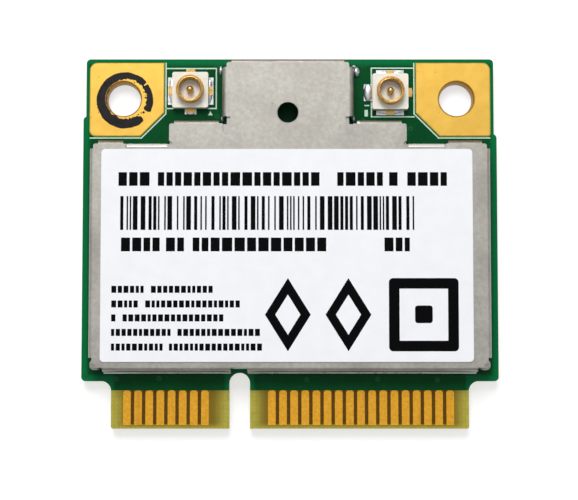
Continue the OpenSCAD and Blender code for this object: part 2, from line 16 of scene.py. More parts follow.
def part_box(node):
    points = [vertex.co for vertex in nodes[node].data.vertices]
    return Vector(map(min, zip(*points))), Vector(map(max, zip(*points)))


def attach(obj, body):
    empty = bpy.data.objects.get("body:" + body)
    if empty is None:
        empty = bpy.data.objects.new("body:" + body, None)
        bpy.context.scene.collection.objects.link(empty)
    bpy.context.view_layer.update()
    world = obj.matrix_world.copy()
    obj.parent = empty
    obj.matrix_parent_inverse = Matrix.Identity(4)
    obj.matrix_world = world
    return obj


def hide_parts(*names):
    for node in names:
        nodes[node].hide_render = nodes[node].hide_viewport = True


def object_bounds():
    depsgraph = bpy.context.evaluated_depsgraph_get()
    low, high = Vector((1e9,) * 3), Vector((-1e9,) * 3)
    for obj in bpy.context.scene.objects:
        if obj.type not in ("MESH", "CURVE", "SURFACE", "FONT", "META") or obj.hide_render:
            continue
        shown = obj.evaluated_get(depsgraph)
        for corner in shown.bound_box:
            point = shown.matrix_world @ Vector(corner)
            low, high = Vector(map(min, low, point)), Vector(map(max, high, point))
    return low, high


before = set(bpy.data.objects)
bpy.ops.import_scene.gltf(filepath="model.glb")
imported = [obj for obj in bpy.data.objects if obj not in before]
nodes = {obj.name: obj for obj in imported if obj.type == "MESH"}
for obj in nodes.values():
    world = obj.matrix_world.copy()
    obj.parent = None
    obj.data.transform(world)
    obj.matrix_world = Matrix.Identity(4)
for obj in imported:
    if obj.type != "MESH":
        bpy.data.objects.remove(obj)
cad_low, cad_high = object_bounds()
scene = bpy.context.scene
mm = 0.001
print("CAD box in mm:", [round(v / mm, 3) for v in (*cad_low, *cad_high)])

# %% [markdown]
# ## Camera
#
# The photograph is a close view from almost straight above. Its camera stood over the contact edge:
# flaps on that side show their full face, while at the far side the walls of the plated holes show
# as gold crescents. So the camera stands at the south, close to the card, and leans a few degrees.
# A small upward shift does the rest of the framing.

# %% Camera
board_low, board_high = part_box("laminate")
board_top_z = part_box("land_left")[1].z
picture_w_px = 578
board_scale_px = 13.86 / mm
picture_x = -0.07 * mm
picture_y = -0.55 * mm
camera_lean = math.radians(4)
camera_distance = 115 * mm
camera_shift = 0.05
view_w = picture_w_px / board_scale_px
aim = Vector((picture_x, picture_y - camera_shift * view_w, board_top_z))

camera_data = bpy.data.cameras.new("camera")
camera_data.sensor_width = 36
camera_data.lens = camera_data.sensor_width * camera_distance / view_w
camera_data.clip_start = 0.005
camera_data.shift_y = camera_shift
camera = bpy.data.objects.new("camera", camera_data)
camera.location = aim + camera_distance * Vector((0, -math.sin(camera_lean), math.cos(camera_lean)))
camera.rotation_euler = (camera_lean, 0, 0)
scene.collection.objects.link(camera)
scene.camera = camera
print("lens in mm:", round(camera_data.lens, 1), "view width in mm:", round(view_w / mm, 1))

# %% [markdown]
# ## Node helpers
#
# The light and the finishes are node trees. These functions add a node, do arithmetic, change the
# range of a value and mix two colours. A plain value is set on the node's own input, and a socket is
# linked to it.

# %% Nodes and their inputs
def put(tree, target, value):
    """Links a socket to an input, or sets a plain value on it."""
    if isinstance(value, bpy.types.NodeSocket):
        tree.links.new(value, target)
    else:
        target.default_value = value

def feed(tree, node, **values):
    """Fills the named inputs of a node. An underscore stands for a space."""
    for name, value in values.items():
        put(tree, node.inputs[name.replace("_", " ")], value)

def add_node(tree, kind, **values):
    """A new node with some of its inputs filled."""
    node = tree.nodes.new(kind)
    feed(tree, node, **values)
    return node

# %% Arithmetic, ranges and mixes
def calc(tree, operation, *values, clamp=False):
    """A math node on numbers or sockets."""
    node = tree.nodes.new("ShaderNodeMath")
    node.operation = operation
    node.use_clamp = clamp
    for target, value in zip(node.inputs, values):
        put(tree, target, value)
    return node.outputs[0]

def remap(tree, value, low, high, start=0.0, stop=1.0, smooth=False):
    """Maps start..stop to low..high, and holds the ends."""
    node = add_node(tree, "ShaderNodeMapRange", Value=value, From_Min=start, From_Max=stop,
                    To_Min=low, To_Max=high)
    if smooth:
        node.interpolation_type = "SMOOTHSTEP"
    return node.outputs["Result"]

def mix_colour(tree, mask, a, b):
    """Mixes two colours or colour sockets by a mask."""
    node = tree.nodes.new("ShaderNodeMix")
    node.data_type = "RGBA"
    put(tree, node.inputs["Factor"], mask)
    for name, value in (("A", a), ("B", b)):
        put(tree, [s for s in node.inputs if s.name == name and s.type == "RGBA"][0], value)
    return [s for s in node.outputs if s.type == "RGBA"][0]

def object_axes(tree):
    """The place on the object in metres: as one vector, and as sockets X, Y and Z."""
    place = tree.nodes.new("ShaderNodeTexCoord").outputs["Object"]
    return place, add_node(tree, "ShaderNodeSeparateXYZ", Vector=place).outputs

# %% [markdown]
# ## Studio
#
# The card lies on a light table under a pale tent, and one softbox stands north of it. The softbox
# does most of the work: it models the edges and lets the shield throw a deep shadow over the mask
# next to the contacts. The tent is the world's own light, brighter in the north. Overhead, round
# the lens, hangs a white card. The flat steel mirrors it and turns light grey instead of black.

# %% Tent
tent_south = 0.24
tent_north = 0.42
tent_colour = (0.95, 0.97, 1.0, 1)
card_glow = 2.1
card_lean = math.radians(-8)
card_rim = math.cos(math.radians(42))
card_core = math.cos(math.radians(18))

world = bpy.data.worlds.new("tent")
scene.world = world
world.use_nodes = True
tent = world.node_tree
direction = tent.nodes.new("ShaderNodeTexCoord").outputs["Generated"]
north = add_node(tent, "ShaderNodeSeparateXYZ", Vector=direction).outputs["Y"]
towards_card = tent.nodes.new("ShaderNodeVectorMath")
towards_card.operation = "DOT_PRODUCT"
put(tent, towards_card.inputs[0], direction)
put(tent, towards_card.inputs[1], (0, math.sin(card_lean), math.cos(card_lean)))
cloth_light = remap(tent, north, tent_south, tent_north, start=-1)
card_light = remap(tent, towards_card.outputs["Value"], 1, card_glow, card_rim, card_core, smooth=True)
feed(tent, tent.nodes["Background"], Strength=calc(tent, "MULTIPLY", cloth_light, card_light),
     Color=tent_colour)
print("tent strength:", tent_south, "to", tent_north)

# %% Lamps
def softbox(name, place, size, watts):
    """A square lamp that looks at the card."""
    data = bpy.data.lights.new(name, "AREA")
    data.size = size
    data.energy = watts
    lamp = bpy.data.objects.new(name, data)
    lamp.location = place
    lamp.rotation_euler = (-Vector(place)).to_track_quat("-Z", "Y").to_euler()
    scene.collection.objects.link(lamp)

softbox("key_north", (-0.04, 0.27, 0.325), size=0.22, watts=1.5)
softbox("fill_west", (-0.34, 0.0, 0.2), size=0.2, watts=0.1)
softbox("fill_east", (0.34, 0.0, 0.2), size=0.2, watts=0.1)
scene.view_settings.view_transform = "Standard"

# %% [markdown]
# ## Shader building blocks
#
# Four effects come back in most finishes: an uneven tone, a fine grain, hairline scratches and dust
# specks. Each one is a node group with named sockets, built once. A group only gives a mask, and each
# material decides what the mask does. All of them read Object coordinates, because every piece has
# its place in its mesh, so a pattern keeps its real size.

# %% Group helpers
def start_group(name, **numbers):
    """A new group. Returns it with its number inputs and the place on the object."""
    group = bpy.data.node_groups.new(name, "ShaderNodeTree")
    for label, value in numbers.items():
        made = group.interface.new_socket(name=label, in_out="INPUT", socket_type="NodeSocketFloat")
        made.default_value = value
    group.interface.new_socket(name="Mask", in_out="OUTPUT", socket_type="NodeSocketFloat")
    given = group.nodes.new("NodeGroupInput").outputs
    return group, given, group.nodes.new("ShaderNodeTexCoord").outputs["Object"]

def end_group(group, mask):
    """Gives the mask out of the group."""
    group.links.new(mask, group.nodes.new("NodeGroupOutput").inputs["Mask"])
    print("group:", group.name)

# %% Uneven tone: soft clouds with adjustable contrast
tone, given, place = start_group("uneven_tone", Scale=300.0, Contrast=1.0)
clouds = add_node(tone, "ShaderNodeTexNoise", Vector=place, Scale=given["Scale"], Detail=5, Roughness=0.6)
off_middle = calc(tone, "SUBTRACT", clouds.outputs["Fac"], 0.5)
end_group(tone, calc(tone, "MULTIPLY_ADD", off_middle, given["Contrast"], 0.5, clamp=True))

# %% Fine grain: a tight noise that drives bumps
grain, given, place = start_group("fine_grain", Scale=6000.0)
speckle = add_node(grain, "ShaderNodeTexNoise", Vector=place, Scale=given["Scale"], Detail=2)
end_group(grain, speckle.outputs["Fac"])

# %% Hairlines: noise stretched along one direction, with only its crests kept
hair, given, place = start_group("hairlines", Scale=500.0, Turn=0.4, Amount=0.3)
angles = add_node(hair, "ShaderNodeCombineXYZ", Z=given["Turn"]).outputs[0]
swivel = add_node(hair, "ShaderNodeMapping", Vector=place, Rotation=angles)
stretch = add_node(hair, "ShaderNodeMapping", Vector=swivel.outputs[0], Scale=(0.06, 1.0, 1.0))
strands = add_node(hair, "ShaderNodeTexNoise", Vector=stretch.outputs[0], Scale=given["Scale"], Detail=4)
end_group(hair, remap(hair, strands.outputs["Fac"], 0.0, given["Amount"], start=0.6, stop=0.78))

# %% Specks: small round dots scattered at random
dots, given, place = start_group("specks", Scale=900.0, Size=0.12, Amount=1.0)
cells = add_node(dots, "ShaderNodeTexVoronoi", Vector=place, Scale=given["Scale"])
in_dot = calc(dots, "LESS_THAN", cells.outputs["Distance"], given["Size"])
end_group(dots, calc(dots, "MULTIPLY", in_dot, given["Amount"]))

# %% [markdown]
# ## Finishes
#
# One short function lays out the common part of a finish: two tones mixed by the uneven mask, a
# roughness that follows the same mask, a bump from the grain, then hairlines and specks where the
# real surface has them. Colours are given as sRGB bytes matched to the photograph, and turned into
# the linear values that the shader wants.

# %% Colours and groups
def linear(r, g, b):
    """An sRGB colour in bytes as a linear RGBA value."""
    def one(v):
        v = v / 255
        return v / 12.92 if v <= 0.04045 else ((v + 0.055) / 1.055) ** 2.4
    return (one(r), one(g), one(b), 1)

def use_group(tree, group, **numbers):
    """A group with its numbers set. Returns its mask."""
    node = tree.nodes.new("ShaderNodeGroup")
    node.node_tree = group
    feed(tree, node, **numbers)
    return node.outputs["Mask"]

# %% The common finish
def finish(name, dark, light, tone_scale, rough, grain_scale, grain_depth, metal=0.0, contrast=2.0,
           gloss=0.5, hairs=None, specks=None):
    """A material. Tone and grain scales are per metre, and grain_depth is in metres.

    Hairs and specks are a colour and the numbers of their group.
    """
    material = bpy.data.materials.new(name)
    material.use_nodes = True
    tree = material.node_tree
    mask = use_group(tree, tone, Scale=tone_scale, Contrast=contrast)
    colour = mix_colour(tree, mask, linear(*dark), linear(*light))
    for group, marks in ((hair, hairs), (dots, specks)):
        if marks:
            mark_colour, numbers = marks
            colour = mix_colour(tree, use_group(tree, group, **numbers), colour, linear(*mark_colour))
    bump = add_node(tree, "ShaderNodeBump", Distance=grain_depth,
                    Height=use_group(tree, grain, Scale=grain_scale))
    feed(tree, tree.nodes["Principled BSDF"], Base_Color=colour, Roughness=remap(tree, mask, *rough),
         Normal=bump.outputs["Normal"], Metallic=metal, Specular_IOR_Level=gloss)
    print("finish:", name)
    return material

def overlay(material, mask, colour):
    """Mixes one more colour over a finish."""
    tree = material.node_tree
    base = tree.nodes["Principled BSDF"].inputs["Base Color"]
    put(tree, base, mix_colour(tree, mask, base.links[0].from_socket, linear(*colour)))

# %% [markdown]
# ### Board
#
# The laminate is glass cloth in amber resin, lit from below by the table. The table's light through it
# is painted into the colour: the cut edges keep a pale olive glow, and painted shade turns it dark brown
# further in, where copper inside the board stops the light. Two crossed wave patterns add the faint
# grid of the cloth, and a third draws its layers on the cut edge. The mask is a thin glossy varnish.
# It looks lighter along the outline, where the copper under it stops short of the edge.

# %% Board marks that several finishes share
half_w = board_high.x
half_l = board_high.y
key_x = -3.62 * mm
key_half = 0.75 * mm
tongue_half = 12.85 * mm
shoulder_y = -10 * mm
wave_radians = 20

def bands(tree, place, way, pitch, **values):
    """Soft bands across one axis. The wave texture turns wave_radians for each unit of its scale."""
    wave = add_node(tree, "ShaderNodeTexWave", Vector=place,
                    Scale=2 * math.pi / (wave_radians * pitch), **values)
    wave.bands_direction = way
    return wave.outputs["Fac"]

# %% Laminate: resin and the grid of the cloth
# The base tones are partly the resin's own colour and partly painted light: the glow of the table's light
# through the thin cut edges.
laminate_finish = finish("glass_laminate", (152, 143, 36), (178, 168, 62), tone_scale=2600,
                         rough=(0.42, 0.6), grain_scale=9000, grain_depth=1.6e-6, gloss=0.25)
cloth = laminate_finish.node_tree
cloth_place, cloth_axes = object_axes(cloth)
cloth_pitch = 0.3 * mm
core_middle_z = 0.5 * mm
core_skin = 0.45 * mm

from_middle = calc(cloth, "ABSOLUTE", calc(cloth, "SUBTRACT", cloth_axes["Z"], core_middle_z))
on_face = calc(cloth, "GREATER_THAN", from_middle, core_skin)
threads = [bands(cloth, cloth_place, way, cloth_pitch, Distortion=0.8) for way in ("X", "Y")]
weave = calc(cloth, "MULTIPLY", calc(cloth, "MULTIPLY", *threads), on_face)
overlay(laminate_finish, remap(cloth, weave, 0.0, 0.14), (214, 204, 150))
print("cloth pitch in mm:", cloth_pitch / mm)

# %% Laminate: layers on the cut edge
layer_pitch = 0.13 * mm
layers = bands(cloth, cloth_place, "Z", layer_pitch, Distortion=1.2, Detail_Scale=900)
on_rim = calc(cloth, "SUBTRACT", 1, on_face)
overlay(laminate_finish, remap(cloth, calc(cloth, "MULTIPLY", layers, on_rim), 0.0, 0.55), (112, 96, 22))

# %% Laminate: painted shade where copper inside the tongue stops the table's light
side_fade = (0.05 * mm, 1.25 * mm)
end_fade = (-0.1 * mm, 0.45 * mm)

from_side = calc(cloth, "SUBTRACT", tongue_half, calc(cloth, "ABSOLUTE", cloth_axes["X"]))
from_key = calc(cloth, "ABSOLUTE", calc(cloth, "SUBTRACT", cloth_axes["X"], key_x))
inside = calc(cloth, "MINIMUM", from_side, calc(cloth, "SUBTRACT", from_key, key_half))
from_end = calc(cloth, "ADD", cloth_axes["Y"], half_l)
# Painted shade: dark brown away from the cut edges, standing in for the table's light that copper stops.
painted_backlight_shade = calc(cloth, "MULTIPLY", remap(cloth, inside, 0, 1, *side_fade, smooth=True),
               remap(cloth, from_end, 0, 1, *end_fade, smooth=True))
on_tongue = calc(cloth, "LESS_THAN", cloth_axes["Y"], shoulder_y + mm)
overlay(laminate_finish, calc(cloth, "MULTIPLY", painted_backlight_shade, on_tongue), (118, 95, 0))

# %% Solder mask
mask_finish = finish("green_solder_mask", (0, 62, 26), (0, 76, 36), tone_scale=420, rough=(0.2, 0.32),
                     grain_scale=2600, grain_depth=1.2e-6, gloss=0.07,
                     specks=((70, 130, 90), {"Scale": 1500.0, "Size": 0.05, "Amount": 0.3}))
covered_copper = finish("mask_over_trace", (0, 80, 38), (2, 96, 50), tone_scale=700, rough=(0.18, 0.3),
                        grain_scale=2600, grain_depth=1.2e-6, gloss=0.2)
# Painted shade: a dark resin tone for the gaps between contacts, where copper keeps the table's light out.
gap_shade_finish = finish("painted_gap_shade", (72, 46, 0), (98, 66, 0), tone_scale=5200, rough=(0.3, 0.5),
                       grain_scale=9000, grain_depth=2e-6, gloss=0.15)

# %% Solder mask: lighter where it has no copper under it
green = mask_finish.node_tree
green_axes = object_axes(green)[1]
copper_in = 0.45 * mm
tongue_in = 0.2 * mm
key_reach = 1.05 * mm
key_end = 9.1 * mm
edge_fade = (-0.12 * mm, 0.16 * mm)

def past(value, limit):
    """How far a value lies past a limit."""
    return calc(green, "SUBTRACT", value, limit)

off_axis = calc(green, "ABSOLUTE", green_axes["X"])
off_key = calc(green, "ABSOLUTE", calc(green, "SUBTRACT", green_axes["X"], key_x))
south = calc(green, "MULTIPLY", green_axes["Y"], -1)
bare = past(off_axis, half_w - copper_in)
for band in (past(green_axes["Y"], half_l - copper_in),
             calc(green, "MINIMUM", past(off_axis, tongue_half - tongue_in),
                  past(south, -shoulder_y - copper_in)),
             calc(green, "MINIMUM", past(key_reach, off_key), past(south, key_end))):
    bare = calc(green, "MAXIMUM", bare, band)
overlay(mask_finish, remap(green, bare, 0, 1, *edge_fade), (0, 104, 56))

# %% [markdown]
# ### Metals
#
# The lands are soft immersion gold, pale and slightly cloudy. The contacts are the same gold seen
# deeper and more orange, with marks of the socket's springs along them. The shield is tinned steel:
# a satin grey with faint rolling lines along its length, matt clouds and a few dark specks. Its far
# flaps face the north lamp, and painted shade gives them a darker tone. Solder is brighter and smoother.

# %% Gold
land_gold = finish("land_gold", (208, 164, 70), (222, 180, 86), tone_scale=1300, rough=(0.36, 0.48),
                   grain_scale=7000, grain_depth=1.6e-6, metal=1.0, contrast=1.5,
                   hairs=((196, 146, 60), {"Scale": 900.0, "Turn": 0.9, "Amount": 0.25}),
                   specks=((150, 104, 34), {"Scale": 1300.0, "Size": 0.07, "Amount": 0.6}))
finger_gold = finish("contact_gold", (208, 138, 16), (242, 182, 46), tone_scale=5200, rough=(0.32, 0.46),
                     grain_scale=6000, grain_depth=2e-6, metal=0.55, contrast=1.6,
                     hairs=((160, 104, 20), {"Scale": 1600.0, "Turn": 1.57, "Amount": 0.5}))
socket_gold = finish("socket_gold", (196, 154, 84), (222, 184, 112), tone_scale=2400, rough=(0.22, 0.36),
                     grain_scale=9000, grain_depth=8e-7, metal=1.0)
# Painted shade: the hole walls get a darker copy of the land gold, for the shade inside the holes.
shaded_hole_gold = finish("shaded_hole_gold", (138, 102, 26), (172, 130, 44), tone_scale=2600, rough=(0.36, 0.5),
                   grain_scale=7000, grain_depth=2e-6, metal=0.8)

# %% Tinned steel and solder
rolling_lines = ((190, 186, 178), {"Scale": 420.0, "Turn": 0.03, "Amount": 0.3})
speck_grey = (92, 87, 78)
tinned_steel = finish("tinned_steel", (148, 145, 140), (176, 173, 168), tone_scale=330, rough=(0.4, 0.56),
                      grain_scale=5200, grain_depth=4e-6, metal=1.0, contrast=2.2, hairs=rolling_lines,
                      specks=(speck_grey, {"Scale": 620.0, "Size": 0.05, "Amount": 0.55}))
lid_steel = finish("lid_steel", (158, 155, 148), (186, 183, 175), tone_scale=330, rough=(0.4, 0.56),
                   grain_scale=5200, grain_depth=4e-6, metal=1.0, contrast=2.2, hairs=rolling_lines,
                   specks=(speck_grey, {"Scale": 620.0, "Size": 0.04, "Amount": 0.5}))
solder_finish = finish("solder", (186, 188, 190), (228, 230, 232), tone_scale=2200, rough=(0.2, 0.42),
                       grain_scale=5200, grain_depth=2e-6, metal=1.0)

# %% Lid: mottled tin, and painted shade on the far flaps
lid = lid_steel.node_tree
lid_axes = object_axes(lid)[1]
mottle = use_group(lid, tone, Scale=3600.0, Contrast=3.0)
overlay(lid_steel, remap(lid, mottle, 0.0, 0.4), (140, 133, 124))
off_axis = calc(lid, "ABSOLUTE", lid_axes["X"])
# Painted shade: the north-facing flaps are darkened in the colour, against the lamp's light on them.
painted_flap_shade = ((6.97 * mm, 9 * mm, (84, 76, 64)), (8.42 * mm, 5 * mm, (112, 106, 96)),
              (12.87 * mm, -1, (108, 100, 90)))
for flap_y, flap_x, flap_shade_colour in painted_flap_shade:
    on_flap = calc(lid, "MULTIPLY", calc(lid, "GREATER_THAN", lid_axes["Y"], flap_y),
                   calc(lid, "GREATER_THAN", off_axis, flap_x))
    shade = calc(lid, "MULTIPLY", on_flap, calc(lid, "ADD", mottle, 0.75))
    overlay(lid_steel, remap(lid, shade, 0.0, 0.8), flap_shade_colour)

# %% [markdown]
# ### Paper, plastic and ink
#
# The label is coated paper, nearly white, with a very fine fibre grain. Its print is a matt black
# transfer. The sockets' plastic is warm white and slightly see-through in life, so it gets a little
# scattering under the surface. The marker ring is dye on gold: dark, thin and uneven.

# %% Paper and inks
label_paper = finish("label_paper", (234, 234, 237), (240, 240, 242), tone_scale=800, rough=(0.5, 0.62),
                     grain_scale=9000, grain_depth=1.5e-6, gloss=0.3)
print_ink = finish("print_black", (1, 1, 2), (7, 7, 9), tone_scale=4000, rough=(0.5, 0.66),
                   grain_scale=9000, grain_depth=1e-6, gloss=0.04)
legend_ink = finish("legend_white", (176, 206, 184), (206, 228, 210), tone_scale=3000, rough=(0.55, 0.7),
                    grain_scale=9000, grain_depth=1.5e-6, gloss=0.2)
marker_ink = finish("marker_black", (4, 4, 8), (26, 20, 20), tone_scale=2600, rough=(0.3, 0.55),
                    grain_scale=9000, grain_depth=1e-6, gloss=0.2, contrast=3.0)

# %% Plastics and ceramics
socket_plastic = finish("socket_plastic", (222, 216, 202), (238, 232, 222), tone_scale=1800,
                        rough=(0.38, 0.5), grain_scale=7000, grain_depth=1e-6)
plastic = socket_plastic.node_tree
feed(plastic, plastic.nodes["Principled BSDF"], Subsurface_Weight=0.15, Subsurface_Scale=0.2 * mm)
black_moulding = finish("black_moulding", (24, 24, 26), (40, 40, 42), tone_scale=2000, rough=(0.5, 0.7),
                        grain_scale=8000, grain_depth=3e-6)
ferrite = finish("ferrite", (44, 44, 48), (66, 66, 70), tone_scale=3000, rough=(0.45, 0.6),
                 grain_scale=7000, grain_depth=3e-6)
tan_ceramic = finish("tan_ceramic", (150, 112, 72), (178, 140, 96), tone_scale=3000, rough=(0.4, 0.55),
                     grain_scale=8000, grain_depth=2e-6)

# %% Finishes on the CAD nodes
node_finish = {}
for material, names in (
        (laminate_finish, "laminate"),
        (mask_finish, "mask_top mask_bottom"),
        (land_gold, "land_left land_right"),
        (finger_gold, "contacts_top_short contacts_top_long contacts_bottom_short contacts_bottom_long"),
        (tinned_steel, "shield_fence crystal"),
        (lid_steel, "shield_lid"),
        (label_paper, "label"),
        (solder_finish, "fence_solder part_solder socket_solder_left socket_solder_right"),
        (solder_finish, "radio_chip_terminals memory_chip_leads capacitor_ends"),
        (socket_plastic, "socket_base_left socket_base_right"),
        (socket_gold, "socket_ring_left socket_ring_right socket_pin_left socket_pin_right"),
        (black_moulding, "radio_chip memory_chip amplifiers antenna_switch"),
        (ferrite, "inductors resistors"),
        (tan_ceramic, "capacitors")):
    node_finish.update({name: material for name in names.split()})
for name, node in nodes.items():
    node.data.materials.clear()
    node.data.materials.append(node_finish[name])
print("finished nodes:", len(nodes))

# %% [markdown]
# ## Making pieces
#
# Thin pieces are built from cubes, discs and short bars in a bmesh. A helper turns the bmesh into an
# object at the origin, with its place in the mesh, and lets it ride on the card.

# %% From bmesh to a piece
def piece(name, bm, material, smooth=False):
    """Turns a bmesh into an object that rides on the card, with its faces pointing outwards."""
    bmesh.ops.recalc_face_normals(bm, faces=bm.faces)
    for face in bm.faces:
        face.smooth = smooth
    mesh = bpy.data.meshes.new(name)
    bm.to_mesh(mesh)
    bm.free()
    mesh.materials.append(material)
    made = bpy.data.objects.new(name, mesh)
    scene.collection.objects.link(made)
    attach(made, "root")
    print("piece:", name, "with", len(mesh.polygons), "faces")
    return made

# %% Edges and faces
def uprights(verts, height):
    """The upright edges of a box, in a fixed order."""
    edges = []
    for v in verts:
        for e in v.link_edges:
            if e not in edges and abs(e.verts[0].co.z - e.verts[1].co.z) > height / 2:
                edges.append(e)
    return edges

def round_edges(bm, edges, radius, segments):
    """Rounds edges over a radius."""
    bmesh.ops.bevel(bm, geom=edges, offset=radius, segments=segments, affect="EDGES", profile=0.5,
                    material=-1)

def raise_faces(bm, faces, height):
    """Extrudes flat faces straight up."""
    raised = bmesh.ops.extrude_face_region(bm, geom=faces)["geom"]
    upper = [part for part in raised if isinstance(part, bmesh.types.BMVert)]
    bmesh.ops.translate(bm, vec=(0, 0, height), verts=upper)

# %% Bars, plates and discs
def bar(bm, x0, y0, x1, y1, z0, z1):
    """A box between two corners."""
    size = Matrix.Diagonal((x1 - x0, y1 - y0, z1 - z0, 1))
    move = Matrix.Translation(((x0 + x1) / 2, (y0 + y1) / 2, (z0 + z1) / 2))
    return bmesh.ops.create_cube(bm, size=1, matrix=move @ size)["verts"]

def round_plate(bm, x0, y0, x1, y1, z0, z1, radius, segments=6):
    """A box with its four upright edges rounded."""
    verts = bar(bm, x0, y0, x1, y1, z0, z1)
    round_edges(bm, uprights(verts, z1 - z0), radius, segments)

def disc(bm, x, y, z0, z1, radius, sides=24):
    """An upright round slab."""
    bmesh.ops.create_cone(bm, cap_ends=True, segments=sides, radius1=radius, radius2=radius,
                          depth=z1 - z0, matrix=Matrix.Translation((x, y, (z0 + z1) / 2)))

# %% Stripes
bar_corners = 8
level_step = 0.0003 * mm
level_count = 9

def stripe(bm, points, width, z0, z1):
    """A line of constant width through the points, made of short bars that overlap at the corners.

    Each bar is a fraction of a micrometre thicker than the last, so no two faces coincide.
    """
    for a, b in zip(points, points[1:]):
        a, b = Vector(a), Vector(b)
        run = b - a
        thicker = len(bm.verts) // bar_corners % level_count * level_step
        move = Matrix.Translation(((a.x + b.x) / 2, (a.y + b.y) / 2, (z0 + z1) / 2))
        turn = Matrix.Rotation(math.atan2(run.y, run.x), 4, "Z")
        size = Matrix.Diagonal((run.length + width, width, z1 - z0 + thicker, 1))
        bmesh.ops.create_cube(bm, size=1, matrix=move @ turn @ size)

# %% [markdown]
# ## Label
#
# The paper label sits on the lid. The CAD solid gives its outline, and the visible sheet is made
# again a little thinner, so that the print can lie on it inside the same height. The print is plain
# fields: rows of blocks where a product has lines of small print, a row of bars that encodes
# nothing, two bold diamonds and a bold frame. Nothing on it can be read. Places on the label are in
# millimetres from its lower left corner.

# %% Sheet
label_low, label_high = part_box("label")
ink_t = 0.006 * mm
sheet_top = label_high.z - ink_t
label_corner = 0.28 * mm

bm = bmesh.new()
round_plate(bm, label_low.x, label_low.y, label_high.x, label_high.y, label_low.z, sheet_top,
            label_corner, segments=10)
label_sheet = piece("label_sheet", bm, label_paper)
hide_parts("label")
label_w = label_high.x - label_low.x
label_h = label_high.y - label_low.y
print("label in mm:", round(label_w / mm, 2), "by", round(label_h / mm, 2))

# %% Rows of blocks
ink_low = sheet_top - ink_t / 2
ink_high = label_high.z
ink_rise = ink_high - ink_low
large_spans = [(1.24, 3.6), (4.05, 15.9), (16.85, 20.1), (20.55, 21.4), (21.85, 24.8)]
middle_spans = [(1.45, 4.2), (4.65, 6.1), (6.55, 16.5), (20.2, 22.0)]
small_start = 0.79
small_rows = ((5.15, 3.3, 3.6, 8.2), (4.11, 2.9, 3.2, 10.1), (3.12, 1.3, 1.6, 8.9),
              (2.09, 5.2, 5.5, 11.6), (1.05, 4.6, 4.9, 11.6))
uneven_widths = (0.75, 1.0, 1.0, 1.15)

def ink_bar(bm, u0, v0, u1, v1):
    """A printed bar between two places on the label."""
    return bar(bm, label_low.x + u0 * mm, label_low.y + v0 * mm, label_low.x + u1 * mm,
               label_low.y + v1 * mm, ink_low, ink_high)

def block_row(bm, spans, middle, height, block_w, gap):
    """Blocks of slightly uneven width that fill each span of a row."""
    for u, end in spans:
        while u + block_w * 0.5 < end:
            w = min(block_w * chance.choice(uneven_widths), end - u)
            ink_bar(bm, u, middle - height / 2, u + w, middle + height / 2)
            u += w + gap

chance = random.Random(7)
bm = bmesh.new()
block_row(bm, large_spans, middle=13.04, height=0.98, block_w=0.6, gap=0.16)
block_row(bm, middle_spans, middle=8.35, height=0.98, block_w=0.64, gap=0.16)
for middle, pause, start, end in small_rows:
    block_row(bm, [(small_start, pause), (start, end)], middle, height=0.5, block_w=0.3, gap=0.11)
piece("label_blocks", bm, print_ink)

# %% Row of bars
bars_end = 22.5
bars_middle = 10.6
bars_height = 2.42
module_w = 0.112

bm = bmesh.new()
u = 1.38
while u < bars_end:
    w = module_w * chance.choice((1, 1, 1, 2, 2, 3))
    ink_bar(bm, u, bars_middle - bars_height / 2, min(u + w, bars_end), bars_middle + bars_height / 2)
    u += w + module_w * chance.choice((1, 1, 2, 2, 3))
piece("label_bars", bm, print_ink)

# %% Bold marks
mark_stroke = 0.75
mark_low = 0.75
mark_high = 5.95
mark_round = 0.3 * mm
block_round = 0.2 * mm
diamond_stroke = 0.62 * mm

def frame_mark(bm, u0, u1):
    """A bold frame: two posts with round outer corners and two rails between them."""
    for start, outer_u in ((u0, u0), (u1 - mark_stroke, u1)):
        verts = ink_bar(bm, start, mark_low, start + mark_stroke, mark_high)
        outer_x = label_low.x + outer_u * mm
        outer = [e for e in uprights(verts, ink_rise) if abs(e.verts[0].co.x - outer_x) < ink_t]
        round_edges(bm, outer, mark_round, 6)
    for v in (mark_low, mark_high - mark_stroke):
        ink_bar(bm, u0 + mark_stroke, v, u1 - mark_stroke, v + mark_stroke)

def diamond_mark(bm, u0, u1):
    """A bold diamond outline: a stretched four-sided disc, inset and raised."""
    x = label_low.x + (u0 + u1) / 2 * mm
    y = label_low.y + (mark_low + mark_high) / 2 * mm
    size = Matrix.Diagonal(((u1 - u0) / 2 * mm, (mark_high - mark_low) / 2 * mm, 1, 1))
    sheet = bmesh.ops.create_circle(bm, cap_ends=True, segments=4, radius=1,
                                    matrix=Matrix.Translation((x, y, ink_low)) @ size)
    middle = sheet["verts"][0].link_faces[0]
    outline = bmesh.ops.inset_region(bm, faces=[middle], thickness=diamond_stroke, use_boundary=True,
                                     use_even_offset=True)["faces"]
    bmesh.ops.delete(bm, geom=[middle], context="FACES")
    raise_faces(bm, outline, ink_rise)

bm = bmesh.new()
diamond_mark(bm, 11.7, 14.95)
diamond_mark(bm, 16.0, 19.25)
frame_mark(bm, 20.5, 25.45)
block = ink_bar(bm, 22.35, 2.75, 23.6, 4.0)
round_edges(bm, uprights(block, ink_rise), block_round, 6)
piece("label_marks", bm, print_ink)

# %% [markdown]
# ## Printed lines on the board
#
# Pale lines under a tenth of a millimetre wide are screened on the mask. One follows the inner side
# of each gold land, set out from the land's own box, and a box stands round each antenna socket. A
# triangle, a dash and a block stand where such a card has small print.

# %% Land outlines
mask_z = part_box("mask_top")[1].z
legend_w = 0.088 * mm
legend_z = (mask_z - 0.004 * mm, mask_z + 0.008 * mm)
legend_gap = 0.18 * mm
land_chamfer = 1.7 * mm
diagonal = land_chamfer + legend_gap * 0.4

